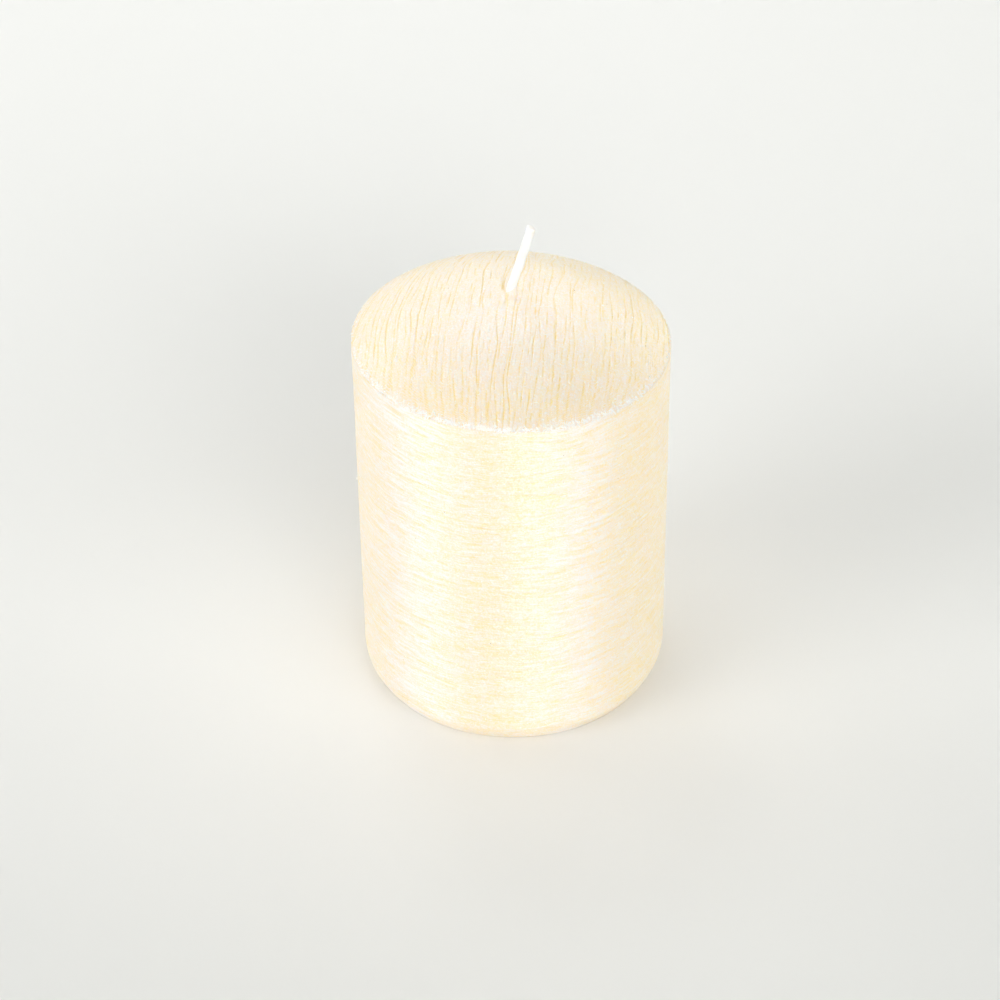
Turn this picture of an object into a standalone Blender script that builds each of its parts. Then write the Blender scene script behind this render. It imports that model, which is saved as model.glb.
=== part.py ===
"""Unity candle: a domed pillar of wax, 70 x 100 mm, with a brushed pearl finish and a plaited cotton wick.

Units are metres, +Z is up and the origin is the centre of the base. The wick leans towards +X.
The candle is made as such candles are made. A pressed wax core has a bore for the wick and a shallow recess
in its base. The wick, crimped in its metal sustainer, goes in from below, and a fill of wax locks it there.
Two dips then cover the core: a thick ivory coat and a thin pearl coat, both levelled flat at the base.
"""

import math

import bpy
from mathutils import Vector

MM = 0.001
GAP = 0.3 * MM  # the clearance between two pieces that touch

# The pillar
RADIUS = 35.0 * MM
HEIGHT = 100.0 * MM
DOME_RISE = 11.8 * MM
SHOULDER_ROUND = 0.8 * MM
PEARL_THICKNESS = 0.6 * MM
IVORY_THICKNESS = 1.5 * MM

# The rounded foot: each surface turns under on an arc about (RADIUS - inset, height)
PEARL_FOOT_INSET = 7.4 * MM
PEARL_FOOT_HEIGHT = 6.0 * MM
CORE_FOOT_INSET = 8.4 * MM
CORE_FOOT_HEIGHT = 5.7 * MM

# The wick and the bore that it stands in
WICK_RADIUS = 1.0 * MM
WICK_WALL = 0.25 * MM
WICK_EXPOSED = 17.6 * MM
WICK_BEND_BELOW_TOP = 0.3 * MM
WICK_BEND_LENGTH = 3.0 * MM
WICK_LEAN_ROOT = math.radians(17.5)
WICK_LEAN_TIP = math.radians(15.0)
WICK_HOLE_RADIUS = 1.6 * MM
BORE_RADIUS = 2.6 * MM

# The plait of three cotton strands inside the wick's wax
STRAND_RADIUS = 0.2 * MM
PLAIT_HALF_WIDTH = 0.49 * MM
PLAIT_HALF_DEPTH = 0.3 * MM
PLAIT_PITCH = 12.0 * MM
STRAND_SHOWS = 0.5 * MM

# The base: the recess and the sustainer in it
RECESS_RADIUS = 12.5 * MM
RECESS_DEPTH = 1.2 * MM
SUSTAINER_RADIUS = 10.0 * MM
SUSTAINER_SHEET = 0.4 * MM
SUSTAINER_RIB_RADIUS = 6.5 * MM
SUSTAINER_RIB_DROP = 0.35 * MM
NECK_TOP = 7.0 * MM
NECK_FLARE = 0.6 * MM

# Facets
TURN_STEPS = 60
SMALL_TURN_STEPS = 24
DOME_STEPS = 6
FOOT_STEPS = 4
ROUND_STEPS = 2
POINTS_PER_PLAIT = 10

DOME_RADIUS = (RADIUS**2 + DOME_RISE**2) / (2 * DOME_RISE)
DOME_CENTRE = HEIGHT - DOME_RADIUS
CORE_INSET = PEARL_THICKNESS + GAP + IVORY_THICKNESS + GAP
SUSTAINER_TOP = RECESS_DEPTH - GAP
SUSTAINER_BOTTOM = SUSTAINER_TOP - SUSTAINER_SHEET
WICK_BOTTOM = SUSTAINER_BOTTOM

MATERIALS = {
    # name: (base colour, roughness, metallic)
    "pearl_wax": ((0.97, 0.87, 0.70), 0.35, 0.1),
    "ivory_wax": ((0.94, 0.80, 0.55), 0.5, 0.0),
    "core_wax": ((0.93, 0.90, 0.82), 0.6, 0.0),
    "wick_wax": ((0.95, 0.93, 0.88), 0.5, 0.0),
    "cotton": ((0.90, 0.87, 0.80), 0.9, 0.0),
    "tinplate": ((0.72, 0.72, 0.72), 0.3, 1.0),
}


def clear_scene():
    for obj in list(bpy.data.objects):
        bpy.data.objects.remove(obj, do_unlink=True)


def make_material(name):
    colour, roughness, metallic = MATERIALS[name]
    material = bpy.data.materials.new(name)
    material.use_nodes = True
    shader = material.node_tree.nodes["Principled BSDF"]
    shader.inputs["Base Color"].default_value = (*colour, 1.0)
    shader.inputs["Roughness"].default_value = roughness
    shader.inputs["Metallic"].default_value = metallic
    return material


def add_object(name, data, material, collection):
    obj = bpy.data.objects.new(name, data)
    obj.data.materials.append(material)
    collection.objects.link(obj)
    return obj


def arc(centre, radius, start, end, steps):
    """Points (r, z) on an arc, from angle start to angle end, both included. Angle 0 points outwards."""
    angles = [start + (end - start) * i / steps for i in range(steps + 1)]
    return [(centre[0] + radius * math.cos(a), centre[1] + radius * math.sin(a)) for a in angles]


def dome(inset, hole_radius):
    """The dome's curve at a depth of inset under the outer surface, from the wick hole out to the shoulder."""
    radius = DOME_RADIUS - inset
    start = math.acos(hole_radius / radius)
    end = math.acos((RADIUS - inset) / radius)
    return arc((0.0, DOME_CENTRE), radius, start, end, DOME_STEPS)


def foot(inset, centre_inset, centre_height):
    """The rounded foot at a depth of inset, from the side wall down to the base plane z = 0."""
    centre = (RADIUS - centre_inset, centre_height)
    radius = centre_inset - inset
    end = -math.asin(min(1.0, centre_height / radius))
    points = arc(centre, radius, 0.0, end, FOOT_STEPS)
    points[-1] = (points[-1][0], 0.0)
    return points


def rounded_corner(before, corner, after, radius, steps):
    """A quadratic curve that replaces a sharp corner of a profile, radius away from it on both sides."""
    tip = Vector(corner)
    start = tip + (Vector(before) - tip).normalized() * radius
    end = tip + (Vector(after) - tip).normalized() * radius
    curve = []
    for i in range(steps + 1):
        t = i / steps
        curve.append(tuple(start * (1 - t) ** 2 + tip * 2 * t * (1 - t) + end * t**2))
    return curve


def turned(name, profile, material, collection, steps=TURN_STEPS):
    """A ring-shaped solid of revolution about Z. The profile's points (r, z) run down its outer side."""
    mesh = bpy.data.meshes.new(name)
    edges = [(i, (i + 1) % len(profile)) for i in range(len(profile))]
    mesh.from_pydata([(r, 0.0, z) for r, z in profile], edges, [])
    obj = add_object(name, mesh, material, collection)
    screw = obj.modifiers.new("turn", "SCREW")
    screw.axis = "Z"
    screw.angle = 2 * math.pi
    screw.steps = steps
    screw.render_steps = steps
    screw.use_merge_vertices = True
    screw.merge_threshold = 0.00001
    screw.use_smooth_shade = True
    return obj


def dipped_coat(name, outer, thickness, outer_foot, inner_foot, shoulder_round, material, collection):
    """A coat of dipped wax: dome, side and foot, open at the base and round the wick."""
    inner = outer + thickness
    outer_dome = dome(outer, WICK_HOLE_RADIUS)
    outer_side = foot(outer, *outer_foot)
    if shoulder_round:
        corner = rounded_corner(outer_dome[-2], outer_dome[-1], outer_side[0], shoulder_round, ROUND_STEPS)
        outer_dome = outer_dome[:-1] + corner
    inner_side = foot(inner, *inner_foot)
    inner_dome = dome(inner, WICK_HOLE_RADIUS)
    profile = outer_dome + outer_side + inner_side[::-1] + inner_dome[::-1]
    return turned(name, profile, material, collection)


def wax_core(material, collection):
    """The pressed core: a bore for the wick and a recess for the sustainer."""
    outer_dome = dome(CORE_INSET, BORE_RADIUS)
    side = foot(CORE_INSET, CORE_FOOT_INSET, CORE_FOOT_HEIGHT)
    recess = [
        (RECESS_RADIUS, 0.0),
        (RECESS_RADIUS, RECESS_DEPTH),
        (BORE_RADIUS, RECESS_DEPTH),
    ]
    return turned("wax_core", outer_dome + side + recess, material, collection)


def bore_fill(material, collection):
    """The wax sleeve that locks the wick in the bore, from above the sustainer's neck to the core's top."""
    outer = BORE_RADIUS - GAP
    inner = WICK_RADIUS + GAP
    top = DOME_CENTRE + DOME_RADIUS - CORE_INSET - GAP
    bottom = NECK_TOP + GAP
    profile = [(inner, top), (outer, top), (outer, bottom), (inner, bottom)]
    return turned("wick_bore_fill", profile, material, collection, SMALL_TURN_STEPS)


def sustainer(material, collection):
    """The stamped sheet-metal tab: a ribbed disc and the neck that is crimped round the wick."""
    inner = WICK_RADIUS + GAP
    outer = inner + SUSTAINER_SHEET
    rib = SUSTAINER_RIB_RADIUS
    drop = SUSTAINER_RIB_DROP
    slope = 1.0 * MM
    top_side = [
        (inner, NECK_TOP),
        (outer, NECK_TOP),
        (outer, SUSTAINER_TOP + NECK_FLARE),
        (outer + NECK_FLARE * 0.3, SUSTAINER_TOP + NECK_FLARE * 0.3),
        (outer + NECK_FLARE, SUSTAINER_TOP),
        (rib - slope, SUSTAINER_TOP),
        (rib, SUSTAINER_TOP - drop),
        (rib + slope, SUSTAINER_TOP),
        (SUSTAINER_RADIUS, SUSTAINER_TOP),
    ]
    underside = [
        (SUSTAINER_RADIUS, SUSTAINER_BOTTOM),
        (rib + slope, SUSTAINER_BOTTOM),
        (rib, SUSTAINER_BOTTOM - drop),
        (rib - slope, SUSTAINER_BOTTOM),
        (inner + NECK_FLARE, SUSTAINER_BOTTOM),
        (inner, SUSTAINER_BOTTOM + NECK_FLARE),
    ]
    return turned("wick_sustainer", top_side + underside, material, collection, SMALL_TURN_STEPS)


def lean_at(distance):
    """The wick's lean from vertical: it bends over as it leaves the wax, then straightens a little to its tip."""
    start = HEIGHT - WICK_BEND_BELOW_TOP - WICK_BOTTOM
    bent = (distance - start) / WICK_BEND_LENGTH
    if bent <= 0.0:
        return 0.0
    if bent < 1.0:
        return WICK_LEAN_ROOT * bent * bent * (3 - 2 * bent)
    free = (distance - start - WICK_BEND_LENGTH) / (WICK_EXPOSED - WICK_BEND_LENGTH)
    return WICK_LEAN_ROOT + (WICK_LEAN_TIP - WICK_LEAN_ROOT) * min(1.0, free)


def wick_line(length, spacing):
    """Points along the wick's centre line from its bottom, spaced evenly, each with its lean."""
    substep = 0.1 * MM
    points = [(Vector((0.0, 0.0, WICK_BOTTOM)), 0.0, 0.0)]
    place = points[0][0].copy()
    travelled = 0.0
    due = spacing
    while travelled < length - substep / 2:
        lean = lean_at(travelled + substep / 2)
        place = place + Vector((math.sin(lean), 0.0, math.cos(lean))) * substep
        travelled += substep
        if travelled >= due - substep / 2:
            points.append((place.copy(), lean_at(travelled), travelled))
            due += spacing
    return points


def wick_length():
    return HEIGHT - WICK_BOTTOM + WICK_EXPOSED


def poly_curve(name, points, radius, bevel_resolution, caps):
    curve = bpy.data.curves.new(name, "CURVE")
    curve.dimensions = "3D"
    curve.bevel_depth = radius
    curve.bevel_resolution = bevel_resolution
    curve.use_fill_caps = caps
    spline = curve.splines.new("POLY")
    spline.points.add(len(points) - 1)
    for spline_point, place in zip(spline.points, points):
        spline_point.co = (*place, 1.0)
    return curve


def wick_wax_coat(material, collection):
    """The wax that primes the wick: a thin tube round the plait, straight in the bore and bent above it."""
    spacing = 1.0 * MM
    whole = wick_line(wick_length(), spacing)
    bend_starts = HEIGHT - WICK_BEND_BELOW_TOP - 2 * MM
    straight_stations = [0.0, 0.5]
    points = [Vector((0.0, 0.0, WICK_BOTTOM + s * (bend_starts - WICK_BOTTOM))) for s in straight_stations]
    points += [place for place, _, _ in whole if place.z > bend_starts]
    guide = add_object("wick_guide", poly_curve("wick_guide", points, WICK_RADIUS, 4, False), material, collection)
    bpy.context.view_layer.update()
    evaluated = guide.evaluated_get(bpy.context.evaluated_depsgraph_get())
    mesh = bpy.data.meshes.new_from_object(evaluated)
    bpy.data.objects.remove(guide, do_unlink=True)
    mesh.name = "wick_wax_coat"
    mesh.materials.clear()
    obj = add_object("wick_wax_coat", mesh, material, collection)
    wall = obj.modifiers.new("wall", "SOLIDIFY")
    wall.thickness = WICK_WALL
    wall.offset = -1.0
    mesh.shade_smooth()
    return obj


def plait_strand(index, material, collection):
    """One of the three strands. In a plait each strand swings from side to side, passing over and under."""
    stations = wick_line(wick_length() + STRAND_SHOWS, PLAIT_PITCH / POINTS_PER_PLAIT)
    points = []
    for place, lean, travelled in stations:
        phase = 2 * math.pi * (travelled / PLAIT_PITCH + index / 3)
        sideways = Vector((math.cos(lean), 0.0, -math.sin(lean)))
        swing = sideways * PLAIT_HALF_WIDTH * math.sin(phase)
        pass_over = Vector((0.0, PLAIT_HALF_DEPTH * math.sin(2 * phase), 0.0))
        points.append(place + swing + pass_over)
    name = f"wick_strand_{index + 1}"
    return add_object(name, poly_curve(name, points, STRAND_RADIUS, 1, True), material, collection)


def build():
    clear_scene()
    collection = bpy.data.collections.new("unity_candle")
    bpy.context.scene.collection.children.link(collection)
    materials = {name: make_material(name) for name in MATERIALS}
    pearl_foot = (PEARL_FOOT_INSET, PEARL_FOOT_HEIGHT)
    core_foot = (CORE_FOOT_INSET, CORE_FOOT_HEIGHT)

    wax_core(materials["core_wax"], collection)
    bore_fill(materials["core_wax"], collection)
    ivory_outer = PEARL_THICKNESS + GAP
    dipped_coat(
        "ivory_dip_coat", ivory_outer, IVORY_THICKNESS, pearl_foot, core_foot, 0.0,
        materials["ivory_wax"], collection,
    )
    dipped_coat(
        "pearl_finish_coat", 0.0, PEARL_THICKNESS, pearl_foot, pearl_foot, SHOULDER_ROUND,
        materials["pearl_wax"], collection,
    )
    sustainer(materials["tinplate"], collection)
    wick_wax_coat(materials["wick_wax"], collection)
    for index in range(3):
        plait_strand(index, materials["cotton"], collection)


build()
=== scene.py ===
"""Looks of the unity candle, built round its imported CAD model. Metres, +Z up, base centre at the origin.

The pearl coat is two closed pieces that share the rim: a side brushed round the candle, and a dome brushed
from front to back. Their strokes are relief, and each vertex carries the coordinates of its stroke, which
the material's fine streaks follow.
"""

from math import acos, asin, cos, pi, radians, sin

import bmesh
import bpy
import numpy as np
from mathutils import Matrix, Vector


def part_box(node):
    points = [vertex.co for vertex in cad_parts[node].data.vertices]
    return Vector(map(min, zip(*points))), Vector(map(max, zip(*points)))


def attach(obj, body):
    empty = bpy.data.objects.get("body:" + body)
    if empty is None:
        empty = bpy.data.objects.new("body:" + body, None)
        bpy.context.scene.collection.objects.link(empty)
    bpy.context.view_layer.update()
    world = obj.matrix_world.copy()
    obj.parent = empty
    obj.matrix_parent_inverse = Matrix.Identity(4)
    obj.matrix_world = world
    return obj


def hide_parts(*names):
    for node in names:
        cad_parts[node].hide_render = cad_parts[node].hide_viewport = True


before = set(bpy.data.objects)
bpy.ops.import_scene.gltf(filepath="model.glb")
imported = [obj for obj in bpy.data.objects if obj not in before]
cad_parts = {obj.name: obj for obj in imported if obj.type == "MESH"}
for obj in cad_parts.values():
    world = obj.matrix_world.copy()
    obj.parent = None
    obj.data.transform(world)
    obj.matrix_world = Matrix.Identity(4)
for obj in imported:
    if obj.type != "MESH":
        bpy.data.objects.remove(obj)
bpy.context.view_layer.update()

MM = 0.001

# The pillar, as in the CAD model
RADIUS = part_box("pearl_finish_coat")[1].x
PATTERN_RADIUS = 35.0  # the radius in mm, for the patterns of the brush strokes
HEIGHT = 100.0 * MM
DOME_RISE = 11.8 * MM
DOME_RADIUS = (RADIUS**2 + DOME_RISE**2) / (2 * DOME_RISE)
RIM_HEIGHT = HEIGHT - DOME_RISE
PEARL_THICKNESS = 0.6 * MM
DOME_SHELL = 0.8 * MM  # thickness of the dome's piece
FOOT_INSET = 7.4 * MM
FOOT_HEIGHT = 6.0 * MM
TOP_TILT = 0.0254  # the dome of this candle is a little lower on its +X side
TILT_STARTS = 55.0 * MM  # below this height the inner pieces don't lean

# The coats inside, the core and the base, from the CAD model
IVORY_OUTER = 0.9 * MM
IVORY_INNER = 2.4 * MM
CORE_OUTER = 2.7 * MM
CORE_FOOT_INSET = 8.4 * MM
CORE_FOOT_HEIGHT = 5.7 * MM
WICK_HOLE_RADIUS = 1.6 * MM
BORE_RADIUS = 2.6 * MM
RECESS_RADIUS = 12.5 * MM
RECESS_DEPTH = 1.2 * MM

# The sustainer
SUSTAINER_RADIUS = 10.0 * MM
SUSTAINER_TOP = 0.9 * MM
SUSTAINER_SHEET = 0.4 * MM
RIB_RADIUS = 6.5 * MM
RIB_DROP = 0.35 * MM
NECK_TOP = 7.0 * MM
NECK_INNER = 1.3 * MM
NECK_FLARE = 0.6 * MM

# The wick: straight in its bore, then bent over towards +X
WICK_BOTTOM = 0.5 * MM
WICK_RADIUS = 1.0 * MM
WICK_WALL = 0.25 * MM
WICK_LENGTH = 117.1 * MM
WICK_BEND_START = 99.2 * MM  # measured along the wick
WICK_BEND_LENGTH = 3.0 * MM
WICK_FREE_LENGTH = 14.6 * MM
WICK_LEAN_ROOT = radians(17.5)
WICK_LEAN_TIP = radians(15.0)
PLAIT_PITCH = 12.0 * MM
PLAIT_HALF_WIDTH = 0.49 * MM
PLAIT_HALF_DEPTH = 0.3 * MM
STRAND_RADIUS = 0.2 * MM

# Mesh resolution
RIM_STEPS = 248  # divisible by 4, so that both ends of the dome's rows lie on rim points
DOME_COLUMNS = 740
SIDE_ROWS = 386
FOOT_ROWS = 18
WICK_SIDES = 48
STRAND_SIDES = 18
TURN_STEPS = 240
SHARP_ANGLE = radians(80)  # steeper folds than this are shaded as edges

FLAKE_HALF = 0.02 * MM  # half the thickness of a pearl flake
FLAKE_LIFT = 0.015 * MM  # from the wax to the flake's middle: less than FLAKE_HALF, so it touches the wax
GROOVE_PITCH = 1.25  # mm between the brush grooves of the dome
STREAK_WIDTH = 0.3  # mm, of the fine streaks in the pearl's material
STREAK_LENGTH = 4.0

# The camera, in metres and degrees
CAMERA_PLACE = (0.00484, -0.54108, 0.45818)
CAMERA_DOWN = 37.46
CAMERA_TURN = 0.82
CAMERA_ROLL = -0.75
LENS = 107.65
SENSOR = 36.0

# The studio: soft lights as (azimuth, elevation, strength), in degrees. Azimuth 0 is the front, 90 the right.
SOFT_LIGHTS = (
    (-60, 15, 9.8),
    (-120, 15, 3.8),
    (-150, 15, 1.2),
    (-30, 15, 1.7),
    (15, 15, 9.6),
    (45, 15, 2.0),
    (45, 30, 1.4),
    (120, 15, 2.0),
    (150, 15, 1.8),
    (180, 45, 0.8),
    (0, 85, 1.0),
)
SOFT_LIGHT_CORE = 12  # degrees from a light's centre to where it starts to fade
SOFT_LIGHT_EDGE = 26  # and to where it ends
BACKGROUND_POWER = 14.0
BACKGROUND_LAMP = (-0.35, 0.9, 1.3)
BACKGROUND_AIM = (-0.3, 0.65, 0)


# ------ noise and meshes


def smooth(t):
    t = np.clip(t, 0.0, 1.0)
    return t * t * (3 - 2 * t)


def step(low, high, value):
    """0 below low, 1 above high, smooth between them."""
    return smooth((value - low) / (high - low))


def bell(*distances):
    """1 where all the distances are 0, and falling away smoothly from there."""
    return np.exp(-sum(d**2 for d in distances))


def noise(seed, *coordinates):
    """Smooth noise from -1 to 1 with cells one unit wide, in one, two or three dimensions."""
    size = 64
    rank = len(coordinates)
    values = np.random.default_rng(seed).uniform(-1, 1, (size,) * rank)
    cells = [np.floor(c).astype(int) for c in coordinates]
    parts = [smooth(c - cell) for c, cell in zip(coordinates, cells)]
    total = 0.0
    for corner in range(2**rank):
        weight = 1.0
        index = []
        for axis in range(rank):
            upper = corner >> axis & 1
            index.append((cells[axis] + upper) % size)
            weight = weight * (parts[axis] if upper else 1 - parts[axis])
        total = total + weight * values[tuple(index)]
    return total


def in_mm(points):
    """The x, y and z of points, in mm."""
    return points[..., 0] / MM, points[..., 1] / MM, points[..., 2] / MM


def along(vectors, lengths):
    """Each vector times its own row of lengths."""
    return vectors[:, None] * lengths[..., None]


def ring_angles(steps):
    return np.arange(steps) * 2 * np.pi / steps


def new_object(name, data):
    made = bpy.data.objects.new(name, data)
    bpy.context.scene.collection.objects.link(made)
    return made


def mesh_object(name, points, quads, triangles=(), smooth_shaded=True):
    """A mesh piece from points in metres and lists of arrays, whose rows are the point numbers of a face."""
    quads = np.concatenate([np.empty((0, 4), int), *quads])
    triangles = np.concatenate([np.empty((0, 3), int), *triangles])
    loops = np.concatenate([quads.ravel(), triangles.ravel()]).astype(np.int32)
    sizes = np.concatenate([np.full(len(quads), 4), np.full(len(triangles), 3)])
    starts = np.concatenate([[0], np.cumsum(sizes)[:-1]]).astype(np.int32)
    mesh = bpy.data.meshes.new(name)
    mesh.vertices.add(len(points))
    mesh.vertices.foreach_set("co", np.asarray(points, np.float32).ravel())
    mesh.loops.add(len(loops))
    mesh.loops.foreach_set("vertex_index", loops)
    mesh.polygons.add(len(sizes))
    mesh.polygons.foreach_set("loop_start", starts)
    mesh.polygons.foreach_set("use_smooth", np.full(len(sizes), smooth_shaded))
    mesh.update(calc_edges=True)
    mesh.validate()
    mesh.set_sharp_from_angle(angle=SHARP_ANGLE)
    return new_object(name, mesh)


def add_values(piece, name, values):
    """Stores one number, or one vector, for each point of the mesh."""
    kind = "FLOAT" if values.ndim == 1 else "FLOAT_VECTOR"
    attribute = piece.data.attributes.new(name, kind, "POINT")
    key = "value" if values.ndim == 1 else "vector"
    attribute.data.foreach_set(key, values.astype(np.float32).ravel())


def ring_quads(lower, upper):
    """Quads between two closed rings of point numbers. They face outwards when upper lies above lower."""
    return np.stack([lower, np.roll(lower, -1), np.roll(upper, -1), upper], axis=1)


def ring_fan(ring, centre):
    """Triangles from a closed ring of point numbers to one point."""
    return np.stack([ring, np.roll(ring, -1), np.full(len(ring), centre)], axis=1)


def strip_quads(lower, upper):
    """Quads between two open rows of point numbers."""
    return np.stack([lower[:-1], lower[1:], upper[1:], upper[:-1]], axis=1)


# ------ the dome's surface


def dome_flow(x, y):
    """The coordinate across the brush strokes of the dome, in mm: it is constant along a stroke."""
    lean = 6.0 - 6.0 * x / PATTERN_RADIUS + y / PATTERN_RADIUS * (2.0 - 8.0 * x / PATTERN_RADIUS)
    across = x - y * np.tan(np.radians(lean))
    across = across + 0.75 * noise(11, x / 13, y / 15) + 0.28 * noise(12, x / 4.5, y / 6)
    knot = bell((x - 5.5) / 3.6, (y - 15.0) / 8.0)
    return across + 1.5 * knot * np.tanh((x - 5.5) / 1.8)


def dome_relief(x, y):
    """Height over the smooth dome and the amount of amber at points (x, y), all in mm."""
    across = dome_flow(x, y)
    pitch = GROOVE_PITCH
    line = np.floor(across / pitch).astype(int)
    groove = np.zeros_like(x)
    for offset in (-2, -1, 0, 1, 2):
        k = (line + offset) * 1.0
        centre = (k + 0.5) * pitch + 0.4 * noise(21, k * 7.31)
        centre = centre + 0.55 * noise(22, k * 3.7 + 0.5, y / 8.5) + 0.12 * noise(23, k * 5.3 + 0.5, y / 2.2)
        strength = 0.6 + 0.35 * noise(27, k * 8.7)
        dashes = strength + 0.6 * noise(24, k * 2.9 + 0.5, y / 3.6) + 0.6 * noise(25, k * 4.1 + 0.5, y / 1.1)
        wide = 0.115 + 0.03 * noise(26, k * 6.1 + 0.5, y / 5)
        profile = bell((across - centre) / wide) * np.clip(dashes, 0, 1.1)
        groove = np.maximum(groove, profile)
    fine = 0.5 * noise(31, across / 0.55, y / 7) + 0.35 * noise(32, across / 0.33, y / 5)
    swell = noise(33, x / 9, y / 12)
    grit = noise(34, x / 0.45, y / 0.6)
    height = -0.11 * groove + 0.02 * fine + 0.05 * swell + 0.012 * grit
    depth = 0.85 + 0.2 * noise(35, x / 6, y / 6) + 0.3 * step(-8, -30, y)
    amber = np.clip(1.5 * groove, 0, 1) * depth + 0.03 * np.clip(-fine, 0, 1)
    crease_x = np.interp(y, (-5.0, -1.5, 1.1, 2.5, 4.0), (-1.3, -0.8, -1.25, -1.7, -1.9))
    crease = bell((x - crease_x) / 0.3) * step(-5.5, -2.5, y) * step(4.6, 3.0, y)
    around = np.hypot(x - 0.1, y)
    collar = (1 - step(1.0, 2.7, around)) * (1.2 + 0.7 * np.clip(x, -1, 1.2))
    near_wick = 1 - step(1.8, 3.2, around)
    height = height * (1 - 0.8 * near_wick) - 0.2 * crease + collar
    # The amber in the crease beside the wick is painted shadow.
    amber = amber * (1 - 0.85 * near_wick) + 0.75 * crease
    return height, np.clip(amber, 0, 1)


def rim_burr(angle):
    """Height of the ragged burr along the rim, in mm."""
    arc = angle * PATTERN_RADIUS
    return 0.02 + 0.04 * noise(41, np.cos(angle) * 9, np.sin(angle) * 9) + 0.05 * noise(42, arc / 0.9)


def smooth_dome(x, y):
    """The height of the dome without its relief at (x, y), all in metres."""
    radius = np.minimum(np.hypot(x, y), RADIUS)
    return HEIGHT - DOME_RADIUS + np.sqrt(DOME_RADIUS**2 - radius**2) - TOP_TILT * x


def dome_height(x, y):
    """The height of the dome's finished surface at (x, y), all in metres, and its amount of amber."""
    radius = np.minimum(np.hypot(x, y), RADIUS)
    relief, amber = dome_relief(x / MM, y / MM)
    to_rim = (RADIUS - radius) / MM
    burr = rim_burr(np.arctan2(y, x)) * bell(to_rim / 0.45)
    keep = 0.45 + 0.55 * step(0.0, 0.8, to_rim)
    return smooth_dome(x, y) + (relief * keep + burr) * MM, amber


def rim_points():
    """The shared edge of the dome and the side, as RIM_STEPS points that start on +X."""
    angle = ring_angles(RIM_STEPS)
    radius = RADIUS + 0.05 * MM * noise(43, np.cos(angle) * 12, np.sin(angle) * 12)
    height, _ = dome_height(RADIUS * np.cos(angle), RADIUS * np.sin(angle))
    return out_from_axis(angle, radius, height)


def dome_grid():
    """The rim, the dome's rows of points from side to side, and the amount of amber at each point."""
    rim = rim_points()
    quarter = RIM_STEPS // 4
    t = np.linspace(0, 1, DOME_COLUMNS + 1)[:, None]
    rows = []
    for i in range(1, 2 * quarter):
        right = rim[(i - quarter) % RIM_STEPS]
        left = rim[(3 * quarter - i) % RIM_STEPS]
        rows.append(left * (1 - t) + right * t)
    grid = np.stack(rows)
    height, amber = dome_height(grid[..., 0], grid[..., 1])
    grid[:, 1:-1, 2] = height[:, 1:-1]
    return rim, grid, amber


def make_dome():
    """The top of the pearl coat: rows from side to side, closed underneath."""
    rim, grid, amber = dome_grid()
    quarter = RIM_STEPS // 4
    top = grid.reshape(-1, 3)
    index = np.arange(len(top)).reshape(len(grid), -1)
    front = len(top)
    back = front + 1
    quads = [strip_quads(index[i], index[i + 1]) for i in range(len(grid) - 1)]
    first, last = index[0], index[-1]
    triangles = [
        np.stack([np.full(DOME_COLUMNS, front), first[1:], first[:-1]], axis=1),
        np.stack([np.full(DOME_COLUMNS, back), last[:-1], last[1:]], axis=1),
    ]
    rim_index = [front, *index[:, -1], back, *index[::-1, 0]]
    outer = np.array([*rim_index[quarter:], *rim_index[:quarter]])
    points = [top, rim[3 * quarter][None], rim[quarter][None]]
    total = back + 1
    for share in (0.978, 0.8, 0.6, 0.4, 0.2):
        ring = rim[:, :2] * share
        points.append(np.column_stack([ring, smooth_dome(ring[:, 0], ring[:, 1]) - DOME_SHELL]))
        inner = np.arange(total, total + RIM_STEPS)
        quads.append(ring_quads(inner, outer))
        outer = inner
        total += RIM_STEPS
    points.append([[0.0, 0.0, HEIGHT - DOME_SHELL]])
    triangles.append(ring_fan(outer, total)[:, [2, 1, 0]])
    points = np.concatenate(points)
    piece = mesh_object("pearl_coat_dome", points, quads, triangles)
    brush_dome(piece, points, amber)
    return piece


def brush_dome(piece, points, amber):
    """The values for the pearl's material. Amber is for the rows, which are the first of the points."""
    x, y, _ = in_mm(points)
    amber_values = np.zeros(len(points))
    amber_values[: amber.size] = amber.ravel()
    amber_values[amber.size] = 0.4  # the point in the middle of the front rim
    # Painted shade: a little more amber towards the right of the dome, where less light falls.
    amber_values = amber_values + 0.1 * step(8, 28, x + 0.4 * y)
    to_rim = PATTERN_RADIUS - np.hypot(x, y)
    # Painted sheen: whiter along the front of the rim and over the front of the dome; the last term adds
    # random white streaks.
    front_rim = bell(to_rim / 1.2) * step(0, -25, y)
    frost_and_painted_sheen = front_rim * np.clip(0.5 + 0.9 * noise(52, x / 0.5, y / 0.25), 0, 1)
    frost_and_painted_sheen = frost_and_painted_sheen + 0.55 * bell((x + 2) / 18, (y + 12) / 17)
    frost_and_painted_sheen = frost_and_painted_sheen + 0.25 * np.clip(noise(51, x / 0.35, y / 1.2), 0, 1)
    add_values(piece, "amber", amber_values)
    add_values(piece, "frost_and_painted_sheen", np.clip(frost_and_painted_sheen, 0, 1))
    streaks = [dome_flow(x, y) / STREAK_WIDTH, y / STREAK_LENGTH, np.zeros(len(x))]
    add_values(piece, "grain", np.stack(streaks, axis=1))
    add_values(piece, "across", np.tile([1.0, -0.1, 0.0], (len(x), 1)))


# ------ the side


def stroke_height(x, y, z):
    """The height coordinate of the side's strokes, in mm: constant along a stroke, which waves as it runs."""
    wave = 0.62 * noise(61, x / 11, y / 11, z / 7) + 0.26 * noise(62, x / 4.5, y / 4.5, z / 3)
    return z + wave + 0.1 * noise(63, x / 1.8, y / 1.8, z / 1.4)


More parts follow.
